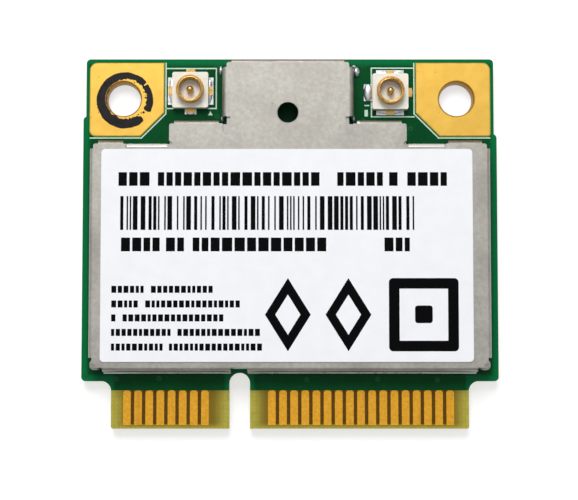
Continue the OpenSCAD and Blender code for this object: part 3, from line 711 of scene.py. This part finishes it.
bm = bmesh.new()
for name, side in (("land_left", -1), ("land_right", 1)):
    low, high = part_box(name)
    in_x = high.x if side < 0 else low.x
    out_x = low.x if side < 0 else high.x
    line_x = in_x - side * legend_gap
    line_y = low.y - legend_gap
    corner = [(line_x, line_y + diagonal), (line_x + side * diagonal, line_y)]
    stripe(bm, [(line_x, high.y), *corner, (out_x, line_y)], legend_w, *legend_z)

# %% Socket outlines, in mm: x from the middle, y from the far edge
far_y = board_high.y
socket_lines = (
    ((-9.02, 0.68), (-5.36, 0.68), (-5.36, 3.62), (-5.95, 3.62)),
    ((-8.5, 3.62), (-9.02, 3.62)),
    ((9.02, 0.65), (5.92, 0.65), (5.92, 1.78)),
    ((5.92, 3.2), (5.92, 4.23), (9.02, 4.23)),
    ((5.72, 3.4), (5.46, 3.4)),
)
for line in socket_lines:
    stripe(bm, [(x * mm, far_y - y * mm) for x, y in line], legend_w, *legend_z)
bar(bm, 5.42 * mm, far_y - 4.2 * mm, 5.66 * mm, far_y - 3.72 * mm, *legend_z)
disc(bm, -5.78 * mm, far_y - 4.02 * mm, *legend_z, radius=0.2 * mm, sides=3)
piece("board_legend", bm, legend_ink)

# %% [markdown]
# ## Plated holes and the marker ring
#
# Each mounting hole is lined with plating that joins the lands of both faces. It is a turned sleeve:
# a short profile with rounded lips, spun once round the hole's axis. Round the left hole somebody
# drew a ring with a black marker. The ring is spun too, then its rims are made ragged and a stretch
# at the lower right is left open.

# %% Sleeves
hole_r = 1.3 * mm
hole_in = 2.9 * mm
plating_t = 0.03 * mm
taper = 0.12 * mm
lip = 0.02 * mm
holes = [Vector((side * (board_high.x - hole_in), far_y - hole_in, 0)) for side in (-1, 1)]

def spun(bm, profile, centre, steps):
    """Spins a closed profile of (radius, height) points round an upright axis."""
    verts = [bm.verts.new((centre.x + r, centre.y, z)) for r, z in profile]
    edges = [bm.edges.new((a, b)) for a, b in zip(verts, verts[1:] + verts[:1])]
    bmesh.ops.spin(bm, geom=verts + edges, cent=centre, axis=(0, 0, 1), angle=2 * math.pi, steps=steps,
                   use_merge=True)

sleeve_low = 0.0
sleeve_high = board_top_z + 0.006 * mm
sleeve_out = hole_r + 0.05 * mm
sleeve_profile = [(sleeve_out, sleeve_high), (hole_r, sleeve_high), (hole_r - plating_t, sleeve_high - lip),
                  (hole_r - taper, sleeve_low + lip), (hole_r - taper + lip, sleeve_low),
                  (sleeve_out, sleeve_low)]
for side, hole in zip(("left", "right"), holes):
    bm = bmesh.new()
    spun(bm, sleeve_profile, hole, 72)
    piece("hole_plating_" + side, bm, shaded_hole_gold, smooth=True)
print("hole centres in mm:", [tuple(round(v / mm, 2) for v in h[:2]) for h in holes])

# %% Rims of the marker ring
ring_centre = Vector((-12.0 * mm, 10.38 * mm, board_top_z))
ring_start = math.radians(-27)
ring_sweep = math.radians(342)
ring_steps = 300
ink_coat = 0.004 * mm
thin_angle = math.radians(42)
nick_angle = math.radians(38)
nick_half = math.radians(2.2)
tip_fade = math.radians(5)

def ragged(angle, fineness, seed):
    """Uneven noise along the ring, about -1 to 1."""
    spot = Vector((math.cos(angle) * fineness, math.sin(angle) * fineness, seed))
    return 2 * noise.noise(spot)

def ring_rims(angle):
    """Inner and outer radius of the stroke in mm at an angle."""
    inner = 1.45 + 0.15 * math.cos(angle - thin_angle)
    inner += 0.06 * ragged(angle, 5, 3) + 0.045 * ragged(angle, 14, 9)
    outer = 2.06 + 0.02 * ragged(angle, 4, 5) + 0.012 * ragged(angle, 17, 1)
    if abs(angle - nick_angle) < nick_half:
        outer -= 0.3
    from_tip = min(angle - ring_start, ring_start + ring_sweep - angle)
    fade = min(1, max(0.0, from_tip) / tip_fade)
    width = (outer - inner) * math.sqrt(max(0.02, 1 - (1 - fade) ** 2))
    middle = (outer + inner) / 2
    return middle - width / 2, middle + width / 2

# %% Marker ring and its flecks
def round_ring(angle, radius):
    """A place at an angle and a radius in mm from the ring's centre."""
    return ring_centre + Vector((math.cos(angle) * radius * mm, math.sin(angle) * radius * mm, 0))

bm = bmesh.new()
first = [bm.verts.new(round_ring(ring_start, radius)) for radius in (1, 2)]
bmesh.ops.spin(bm, geom=first + [bm.edges.new(first)], cent=ring_centre, axis=(0, 0, 1), angle=ring_sweep,
               steps=ring_steps, use_merge=False)
for v in bm.verts:
    arm = v.co - ring_centre
    angle = ring_start + (math.atan2(arm.y, arm.x) - ring_start + 1e-4) % (2 * math.pi)
    inner, outer = ring_rims(angle)
    v.co = ring_centre + arm.normalized() * (inner if arm.length < 1.5 * mm else outer) * mm
raise_faces(bm, list(bm.faces), ink_coat)
flecks = ((8, 1.5, 0.07), (14, 1.57, 0.045), (-33, 1.62, 0.09), (-38, 1.5, 0.05), (24, 1.49, 0.05),
          (-47, 1.42, 0.06), (150, 1.36, 0.04), (205, 2.12, 0.035), (62, 1.48, 0.05))
for degrees, radius, size in flecks:
    spot = round_ring(math.radians(degrees), radius)
    disc(bm, spot.x, spot.y, board_top_z, board_top_z + ink_coat, size * mm, sides=9)
piece("marker_ring", bm, marker_ink)

# %% [markdown]
# ## Contact edge
#
# Between the contacts the resin looks dark, because the copper on both faces keeps the table's light out.
# That shade is painted: thin dark strips fill those gaps on both faces. They are laid out from the
# contacts' own boxes and their pitch.

# %% Painted shade between contacts
pitch = 0.8 * mm
finger_w = 0.55 * mm
shade_strip_t = 0.004 * mm
shade_strip_in = 0.1 * mm
shade_strip_over = 0.005 * mm

bm = bmesh.new()
for face_name, z in (("top", board_high.z), ("bottom", board_low.z)):
    for row in ("short", "long"):
        low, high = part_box(f"contacts_{face_name}_{row}")
        for i in range(round((high.x - low.x - finger_w) / pitch)):
            x0 = low.x + i * pitch + finger_w
            x1 = x0 + pitch - finger_w
            bar(bm, x0, low.y + shade_strip_in, x1, high.y + shade_strip_over, z - shade_strip_t, z + shade_strip_t)
print("resin strips:", len(bm.verts) // bar_corners)
piece("gap_shade_strips", bm, gap_shade_finish)

# %% [markdown]
# ## Solder
#
# Solder climbs the metal feet as shiny rounded fillets. Each fillet is a small ball, flattened and
# stretched over its pad, so that it shows the highlight of a real joint.

# %% Fillets at the sockets
def blob(bm, x, y, z, half_x, half_y, half_z):
    """A flattened ball. Its three half sizes are in mm."""
    size = Matrix.Diagonal((half_x * mm, half_y * mm, half_z * mm, 1))
    bmesh.ops.create_icosphere(bm, subdivisions=3, radius=1, matrix=Matrix.Translation((x, y, z)) @ size)

for side in ("left", "right"):
    low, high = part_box("socket_base_" + side)
    mid = (low + high) / 2
    reach = (high.x - low.x) / 2 + 0.08 * mm
    side_z = mask_z + 0.03 * mm
    tail_z = mask_z + 0.02 * mm
    bm = bmesh.new()
    if side == "left":
        for way in (-1, 1):
            blob(bm, mid.x + way * reach, mid.y, side_z, 0.2, 0.92, 0.11)
        blob(bm, mid.x, low.y - 0.2 * mm, tail_z, 0.36, 0.26, 0.1)
        blob(bm, mid.x, high.y + 0.15 * mm, tail_z, 0.36, 0.2, 0.08)
    else:
        for way in (-1, 1):
            blob(bm, mid.x, mid.y + way * reach, side_z, 0.92, 0.2, 0.11)
        blob(bm, low.x - 0.28 * mm, mid.y, mask_z + 0.04 * mm, 0.34, 0.66, 0.17)
        blob(bm, high.x + 0.15 * mm, mid.y, tail_z, 0.2, 0.36, 0.08)
    piece("socket_fillets_" + side, bm, solder_finish, smooth=True)

# %% Drawn throat inside each socket's ring, in mm: radius, and height from the ring's top
throat = ((0.9, -0.05), (0.86, -0.015), (0.81, -0.03), (0.78, -0.09), (0.76, -0.3), (0.75, -0.85),
          (0.9, -0.85))
for side in ("left", "right"):
    low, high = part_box("socket_base_" + side)
    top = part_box("socket_ring_" + side)[1].z
    bm = bmesh.new()
    spun(bm, [(r * mm, top + z * mm) for r, z in throat], (low + high) / 2, 64)
    piece("socket_throat_" + side, bm, socket_gold, smooth=True)

# %% Solder along the fence
fence_low, fence_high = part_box("shield_fence")
lid_low, lid_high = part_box("shield_lid")
neck_left = -4.55 * mm
neck_right = 4.25 * mm
flap_reach = 0.37 * mm
side_bead = (0.14, 0.6, 0.15)
side_start = fence_low.y + 1.6 * mm
side_pitch = 3.2 * mm
south_bead = (0.7, 0.13, 0.14)
south_start = fence_low.x + 2 * mm
south_pitch = 3.45 * mm

bm = bmesh.new()
for x, y, size in (
        (neck_left - flap_reach - 0.1 * mm, 12.55 * mm, (0.16, 0.36, 0.3)),
        (neck_right + flap_reach + 0.2 * mm, 12.45 * mm, (0.28, 0.38, 0.28)),
        (neck_right + flap_reach + 0.02 * mm, 12.8 * mm, (0.2, 0.16, 0.36)),
        (neck_left - flap_reach, 9.0 * mm, (0.12, 0.25, 0.2)),
        (neck_right + flap_reach, 9.0 * mm, (0.12, 0.25, 0.2))):
    blob(bm, x, y, mask_z, *size)
for i in range(5):
    for x in (fence_low.x, fence_high.x):
        blob(bm, x, side_start + i * side_pitch, mask_z, *side_bead)
for i in range(8):
    blob(bm, south_start + i * south_pitch, fence_low.y, mask_z, *south_bead)
piece("fence_fillets", bm, solder_finish, smooth=True)

# %% [markdown]
# ## Pressed ribs and rolled edges of the shield
#
# A rib is pressed along the foot of the two long flaps beside the contact edge; it clips the lid to
# the fence. It lies in the lid's shade, so its thin bright line is a painted highlight: it takes the
# brighter solder finish instead of the lid's steel. Where the lid's edge sits back, the round bend of
# the fence's rim catches the light as a thin bright line.

# %% Ribs
rib_r = 0.085 * mm
rib_z = 1.66 * mm
rib_y = lid_low.y + 0.03 * mm
flap_end = 0.75 * mm
key_gap = 0.6 * mm
lid_edge_x = 14.075 * mm

def rod(bm, x0, x1, y, z, radius):
    """A round rod along X with round ends."""
    lie = Matrix.Translation(((x0 + x1) / 2, y, z)) @ Matrix.Rotation(math.pi / 2, 4, "Y")
    bmesh.ops.create_cone(bm, cap_ends=True, segments=16, radius1=radius, radius2=radius, depth=x1 - x0,
                          matrix=lie)
    for x in (x0, x1):
        bmesh.ops.create_uvsphere(bm, u_segments=16, v_segments=8, radius=radius,
                                  matrix=Matrix.Translation((x, y, z)))

bm = bmesh.new()
rod(bm, -lid_edge_x + flap_end + rib_r, key_x - key_gap - rib_r, rib_y, rib_z, rib_r)
rod(bm, key_x + key_gap + rib_r, lid_edge_x - flap_end - rib_r, rib_y, rib_z, rib_r)
# Painted highlight: the ribs are pressed steel, but take the brighter solder finish.
piece("shield_ribs", bm, solder_finish, smooth=True)

# %% Bends of the fence's rim
rim_in = 6.72 * mm
rim_out = 6.95 * mm
rim_t = 0.1 * mm
rim_rise = 0.03 * mm
rim_drop = 0.06 * mm

bm = bmesh.new()
for x0, x1 in ((-11.7 * mm, -8.8 * mm), (8.5 * mm, 11.05 * mm)):
    verts = bar(bm, x0, rim_in, x1, rim_out, fence_high.z - rim_t, fence_high.z + rim_rise)
    for v in verts:
        if v.co.y > (rim_in + rim_out) / 2 and v.co.z > fence_high.z:
            v.co.z -= rim_drop
piece("fence_rims", bm, tinned_steel)

# %% Rounded corners of the fence
corner_r = 0.3 * mm
corner_bevel = 0.14 * mm
corner_top = 2.5 * mm
corner_in = 0.2 * mm
corner_w = 0.74 * mm

for name, x0 in (("left", lid_low.x + corner_in), ("right", lid_high.x - corner_in - corner_w)):
    y0 = lid_low.y + corner_in
    bm = bmesh.new()
    round_plate(bm, x0, y0, x0 + corner_w, y0 + corner_w, mask_z, corner_top, corner_r, segments=8)
    bm.normal_update()
    top_rim = [e for f in bm.faces if f.normal.z > 0.9 for e in f.edges]
    round_edges(bm, top_rim, corner_bevel, 4)
    piece("fence_corner_" + name, bm, tinned_steel)

# %% Pierced rim of the peep hole, in mm from the hole's edge and the lid's top
peep_centre = Vector((-0.15 * mm, 9.2 * mm, 0))
peep_r = 0.75 * mm
peep_rim = ((0.002, -0.1), (0.06, -0.02), (0.045, 0.006), (0.015, 0.008), (-0.012, -0.02))
bm = bmesh.new()
spun(bm, [(peep_r + r * mm, lid_high.z + z * mm) for r, z in peep_rim], peep_centre, 64)
piece("peep_hole_rim", bm, tinned_steel, smooth=True)

# %% [markdown]
# ## Traces and vias
#
# Under the mask the copper traces stand a few micrometres proud, and the varnish over them looks
# lighter. The contacts' traces step aside a little and end in vias: small plated holes that show as
# pale rings with dark middles. Nine long traces run side by side. The underside carries most of
# them, because the other face is full of parts. It also has two rows of round gold test points,
# where probes touch the card in the factory.

# %% Traces of the contacts
trace_w = 0.13 * mm
under_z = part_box("mask_bottom")[0].z
trace_z = (under_z - 0.006 * mm, under_z + 0.006 * mm)
side_steps = (-1.2, -0.8, -0.4, 0.4, 0.8, 1.2)
step_share = 0.22
chance = random.Random(11)
via_places = []

bm = bmesh.new()
for row in ("short", "long"):
    low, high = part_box(f"contacts_bottom_{row}")
    for i in range(round((high.x - low.x - finger_w) / pitch) + 1):
        x = low.x + finger_w / 2 + i * pitch
        step_y = high.y + chance.uniform(0.5, 2.4) * mm
        jog = chance.choice(side_steps) * mm * step_share
        end_y = step_y + abs(jog) + chance.uniform(1.0, 6.2) * mm
        points = [(x, high.y), (x, step_y), (x + jog, step_y + abs(jog)), (x + jog, end_y)]
        stripe(bm, points, trace_w, *trace_z)
        via_places.append(points[-1])
print("contact traces:", len(via_places))

# %% Nine long traces; each steps a little before the last, so the gaps between them stay even
bus_start = -11 * mm
bus_y = -1.5
bus_pitch = 0.55
bus_step = 1.4 * mm
step_start = -2.5
step_lead = 0.23
bus_end = 3
bus_end_pitch = 0.9

for i in range(9):
    y = (bus_y + i * bus_pitch) * mm
    step_x = (step_start - i * step_lead) * mm
    end_x = (bus_end + i * bus_end_pitch) * mm
    points = [(bus_start, y), (step_x, y), (step_x + bus_step, y + bus_step), (end_x, y + bus_step)]
    stripe(bm, points, trace_w, *trace_z)
    via_places += [points[0], points[-1]]
piece("underside_traces", bm, covered_copper)

# %% Test points
probe_r = 0.42 * mm
probe_z = (under_z - 0.006 * mm, under_z + 0.004 * mm)
probe_start = -7.2
probe_pitch = 2.4
probe_rows = (5.4 * mm, 8.6 * mm)
scatter = 0.5
probe_places = []

bm = bmesh.new()
for i in range(7):
    for row_y in probe_rows:
        x = (probe_start + probe_pitch * i) * mm + chance.uniform(-scatter, scatter) * mm
        y = row_y + chance.uniform(-scatter, scatter) * mm
        disc(bm, x, y, *probe_z, probe_r)
        probe_places.append((x, y))
piece("test_points", bm, land_gold)

# %% Places of the vias
via_count = 60
via_columns = 12
via_corner = (-14.2, -8.6)
column_pitch = 2.58
row_pitch = 3.9
row_scatter = 0.6
via_spacing = 0.75 * mm

for i in range(via_count):
    x = (via_corner[0] + (i % via_columns) * column_pitch) * mm
    y = (via_corner[1] + (i // via_columns) * row_pitch) * mm
    place = (x + chance.uniform(-scatter, scatter) * mm, y + chance.uniform(-row_scatter, row_scatter) * mm)
    if min(math.dist(place, other) for other in via_places + probe_places) > via_spacing:
        via_places.append(place)
top_vias = [(-14.65, -9.6), (-14.6, -2.4), (14.62, -6.2), (14.6, 1.4), (-8.6, 8.25), (-5.3, 9.2),
            (5.3, 8.9), (8.75, 8.3), (-5.35, 12.9), (5.3, 12.95), (-12.5, -9.85), (-9.4, -9.8),
            (1.2, -9.9), (6.3, -9.85), (10.6, -9.9), (13.4, -9.75)]
print("vias:", len(via_places) + len(top_vias))

# %% Vias
under_ring_z = (under_z - 0.008 * mm, under_z + 0.004 * mm)
under_hole_z = (under_z - 0.0092 * mm, under_z)
top_ring_z = (mask_z - 0.004 * mm, mask_z + 0.006 * mm)
top_hole_z = (mask_z, mask_z + 0.008 * mm)

bm = bmesh.new()
centres = bmesh.new()
for x, y in via_places:
    disc(bm, x, y, *under_ring_z, radius=0.2 * mm)
    disc(centres, x, y, *under_hole_z, radius=0.09 * mm, sides=16)
for x, y in top_vias:
    disc(bm, x * mm, y * mm, *top_ring_z, radius=0.17 * mm)
    disc(centres, x * mm, y * mm, *top_hole_z, radius=0.08 * mm, sides=16)
piece("via_rings", bm, covered_copper)
piece("via_centres", centres, mask_finish)

# %% [markdown]
# ## Floor
#
# The floor is the light table: pale, plain and level with the lowest copper. It glows a little, so
# the shadow of the card stays light and the holes show white.

# %% Floor
table_grey = 0.5
table_glow = 0.6
table_half = 0.6

floor_finish = bpy.data.materials.new("light_table")
floor_finish.use_nodes = True
table = floor_finish.node_tree
feed(table, table.nodes["Principled BSDF"], Base_Color=(table_grey, table_grey, table_grey, 1),
     Roughness=0.9, Specular_IOR_Level=0.1, Emission_Color=(1, 1, 1, 1), Emission_Strength=table_glow)
bm = bmesh.new()
bmesh.ops.create_grid(bm, x_segments=1, y_segments=1, size=table_half,
                      matrix=Matrix.Translation((0, 0, cad_low.z)))
floor_mesh = bpy.data.meshes.new("floor")
bm.to_mesh(floor_mesh)
bm.free()
floor_mesh.materials.append(floor_finish)
floor = bpy.data.objects.new("floor", floor_mesh)
scene.collection.objects.link(floor)
